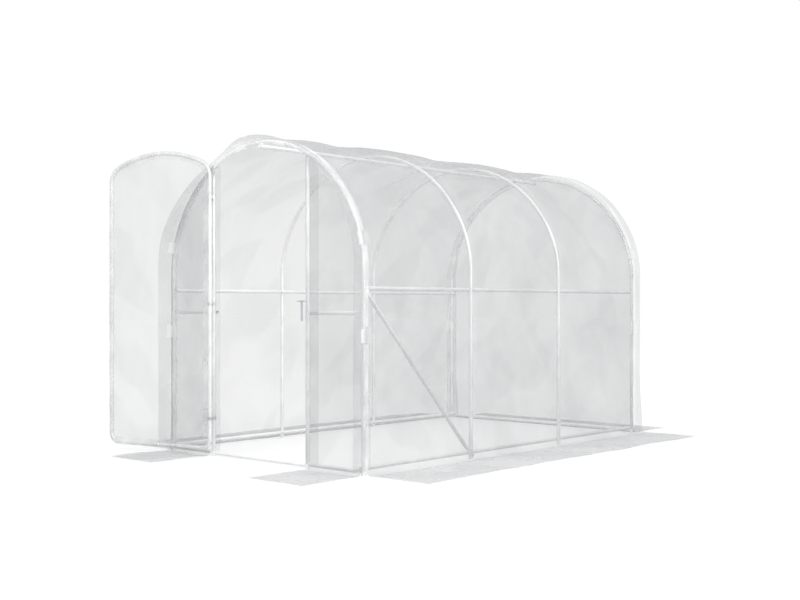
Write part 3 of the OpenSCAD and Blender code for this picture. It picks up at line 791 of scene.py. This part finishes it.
def leafPlace(u, v):
    # each row runs from one edge of the leaf to the other at one height
    s = 0.004 + (leafHalf - 0.008) * v
    dx, z, nx, nz = leafPoint(s)
    wrapRun = math.pi * leaf["wrap"]
    outside = wrapRun + leaf["flange"]
    run = (2 * u - 1) * (dx + outside)
    side = 1 if run >= 0 else -1
    reach = abs(run)
    hingeSide = side < 0
    if reach <= dx:
        x = leafMiddle + run
        room = min(dx - reach, abs(z - leaf["bottom"]) + 0.01, 0.25)
        wave = panelBelly(x, z, room, 110)
        topGather = (ease(1.6, 1.88, z) * 0.003 * wobble(x, 0, z * 0.12, 0.07, 115)
                     * ease(0, 0.03, room))
        local = Vector((x, -leaf["wrap"] + wave * 1.1 + topGather, z))
        atTop = 1 - ease(0.0, 0.16, room + (1 - ease(1.55, 1.75, z)))
        # white flecks along the arched top: real gather folds with painted glints
        gatheredAndGlare = max(heldEdge(room, 0.05, x, z, 22),
                       0.6 * atTop * max(wobble(x, 0, z * 0.2, 0.05, 23), 0))
    else:
        loose = 0.0 if hingeSide else 0.0045 * (0.6 + 0.4 * wobble(0, 0, z + dx, 0.13, 117))
        atTop = ease(1.6, 1.8, z)
        loose = max(loose, atTop * 0.0035 * (0.5 + 0.5 * wobble(dx * 2, 1, z, 0.16, 118)))
        radius = (leaf["tight"] if hingeSide and z < 1.8 else leaf["wrap"]) + loose
        around = reach - dx
        half = math.pi * radius
        if around < half:
            a = around / radius
            out, sideways = radius * math.sin(a), -radius * math.cos(a)
        else:
            out = -(around - half)
            sideways = min(radius, 0.0138)
        local = Vector((leafMiddle + side * (dx + nx * out), sideways, z + nz * out))
        # round the tubes the film is doubled and whitened, the white partly painted glare along
        # them
        gatheredAndGlare = 0.35 + 0.25 * wobble(run, 0, z, 0.12, 24)
    # kept flat where the latch strip sweeps over the closed leaf
    fromPin = math.hypot(local.x - latch["x"], local.z - latch["z"])
    away = ease(latch["reach"] + 0.02, latch["reach"] + 0.12, fromPin)
    local.y = max(local.y, -latch["room"] - 0.02 * away)
    return leaf["hinge"] + turn @ local, (run - 6, z), max(gatheredAndGlare, 0)


cut = filmMesh(96, 190, leafPlace)
for height in leaf["clampHeights"]:
    # cut out where a hinge clamp goes round the tube
    for edgeZ in (height - leaf["clampHalf"], height + leaf["clampHalf"]):
        bmesh.ops.bisect_plane(cut, geom=cut.verts[:] + cut.edges[:] + cut.faces[:],
                               plane_co=(0, 0, edgeZ), plane_no=(0, 0, 1))
across = turn @ Vector((1, 0, 0))
bmesh.ops.bisect_plane(cut, geom=cut.verts[:] + cut.edges[:] + cut.faces[:],
                       plane_co=leaf["hinge"] + across * leaf["clampReach"], plane_no=across)
holes = []
for face in cut.faces:
    centre = face.calc_center_median()
    atClamp = any(abs(centre.z - height) < leaf["clampHalf"] for height in leaf["clampHeights"])
    if atClamp and (centre - leaf["hinge"]).dot(across) < leaf["clampReach"]:
        holes.append(face)
bmesh.ops.delete(cut, geom=holes, context="FACES")
leafFilm = finishPiece(cut, "leafFilm", filmMaterial, "door")
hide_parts("door_film")
print("leaf film ready")

# Bolts go through the flattened tube ends.
bolt = {"acrossFlats": 0.010, "head": 0.003, "washer": 0.0065, "washerThick": 0.0008,
        "taper": 0.97}
flatStep = frontY - postY   # from a tube's middle to the middle of a flat seated on it
seat = 0.0015               # half a flat's thickness
railLow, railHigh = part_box("front_base_rail_right")
crossLow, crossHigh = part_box("cross_bar_right")
railZ, crossZ = (railLow.z + railHigh.z) / 2, (crossLow.z + crossHigh.z) / 2
flatEnd = 0.012             # from a tube's flattened end to its bolt
boltPlaces = []
for side in (1, -1):
    boltPlaces.append(((side * halfWidth, postY - seat, railZ), (0, -1, 0)))
    boltPlaces.append(((side * halfWidth, rearY + flatStep + seat, railZ), (0, 1, 0)))
    boltPlaces.append(((side * halfWidth, frontY + flatStep + seat, crossZ), (0, 1, 0)))
    boltPlaces.append(((side * postX, postY - seat, postHigh.z - flatEnd), (0, -1, 0)))
braceLow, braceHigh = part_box("diagonal_brace")
for y, z in ((hoopYs[0], braceHigh.z - flatEnd), (hoopYs[1], braceLow.z + flatEnd)):
    boltPlaces.append(((halfWidth + flatStep + seat, y, z), (1, 0, 0)))
mesh = bmesh.new()
for place, axis in boltPlaces:
    turned = Vector(axis).to_track_quat("Z", "Y").to_matrix().to_4x4()
    for radius, depth, sides, lift in (
            (bolt["washer"], bolt["washerThick"], 20, bolt["washerThick"] / 2),
            (bolt["acrossFlats"] / math.sqrt(3), bolt["head"], 6,
             bolt["washerThick"] + bolt["head"] / 2)):
        where = Matrix.Translation(place) @ turned @ Matrix.Translation((0, 0, lift))
        bmesh.ops.create_cone(mesh, cap_ends=True, segments=sides, radius1=radius,
                              radius2=radius * bolt["taper"], depth=depth, matrix=where)
finishPiece(mesh, "boltHeads", zincMaterial, "frame", smooth=False)
print("bolts ready")
